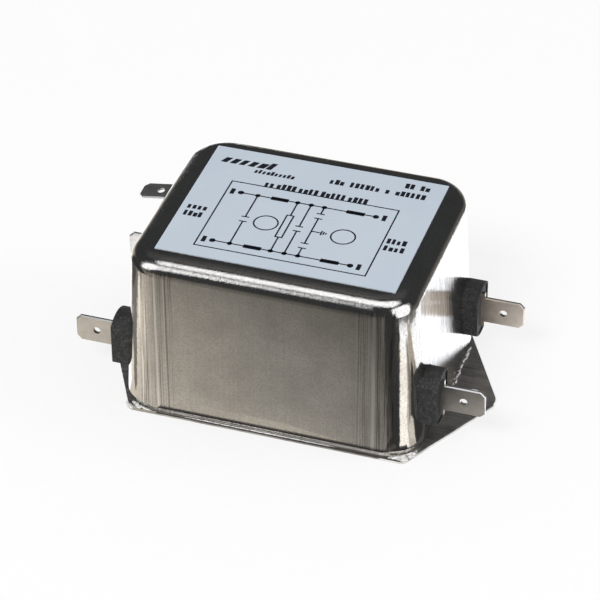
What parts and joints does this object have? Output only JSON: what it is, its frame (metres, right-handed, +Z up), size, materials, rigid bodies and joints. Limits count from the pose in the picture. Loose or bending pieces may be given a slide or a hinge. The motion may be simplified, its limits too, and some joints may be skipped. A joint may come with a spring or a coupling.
{
  "type": "emi line filter",
  "caption": "Chassis-mount EMI line filter: drawn steel can on an eared base plate, insulated blade terminals on both ends, an earth tab and a two-stage filter inside.",
  "frame": {"origin": "middle of the base plate's lower face, midway between the ear holes", "axes": "+Z up from the mounting face, +X towards the load-side terminals, -Y the long side nearest the viewer"},
  "size_m": [0.0886, 0.0492, 0.0391],
  "materials": {
    "nickel_plated_can": "drawn steel with bright nickel plate, fine vertical drawing marks",
    "nickel_plated_plate": "nickel plated sheet, satin",
    "label_film": "pale blue-grey printed film",
    "tinned_steel": "tinned strip, satin",
    "tinned_brass": "tinned brass strip, satin",
    "black_bushing": "moulded black plastic, fine grain",
    "insulating_paper": "pressed insulating paper",
    "natural_nylon": "natural nylon",
    "board_laminate": "green lacquered laminate",
    "capacitor_case": "moulded plastic box",
    "ceramic_coating": "dipped epoxy coating",
    "resistor_coating": "lacquered",
    "tinned_copper": "tinned wire",
    "coated_ferrite": "epoxy coated ferrite",
    "enamelled_copper": "enamelled copper wire"
  },
  "bodies": {
    "root": {"can": "nickel_plated_can", "base_plate": "nickel_plated_plate", "rating_label": "label_film", "earth_tab": "tinned_steel", "bottom_insulator": "insulating_paper", "board_spacers": "natural_nylon", "circuit_board": "board_laminate", "input_x_capacitor": "capacitor_case", "middle_x_capacitor": "capacitor_case", "line_y_capacitor": "ceramic_coating", "neutral_y_capacitor": "ceramic_coating", "bleed_resistor": "resistor_coating", "earth_pin": "tinned_copper", "input_line_bushing": "black_bushing", "input_line_terminal": "tinned_brass", "input_line_jumper": "tinned_copper", "input_neutral_bushing": "black_bushing", "input_neutral_terminal": "tinned_brass", "input_neutral_jumper": "tinned_copper", "output_line_bushing": "black_bushing", "output_line_terminal": "tinned_brass", "output_line_jumper": "tinned_copper", "output_neutral_bushing": "black_bushing", "output_neutral_terminal": "tinned_brass", "output_neutral_jumper": "tinned_copper", "input_choke_core": "coated_ferrite", "input_choke_cradle": "natural_nylon", "input_choke_divider": "natural_nylon", "input_choke_line_winding": "enamelled_copper", "input_choke_neutral_winding": "enamelled_copper", "output_choke_core": "coated_ferrite", "output_choke_cradle": "natural_nylon", "output_choke_divider": "natural_nylon", "output_choke_line_winding": "enamelled_copper", "output_choke_neutral_winding": "enamelled_copper"}
  },
  "joints": []
}
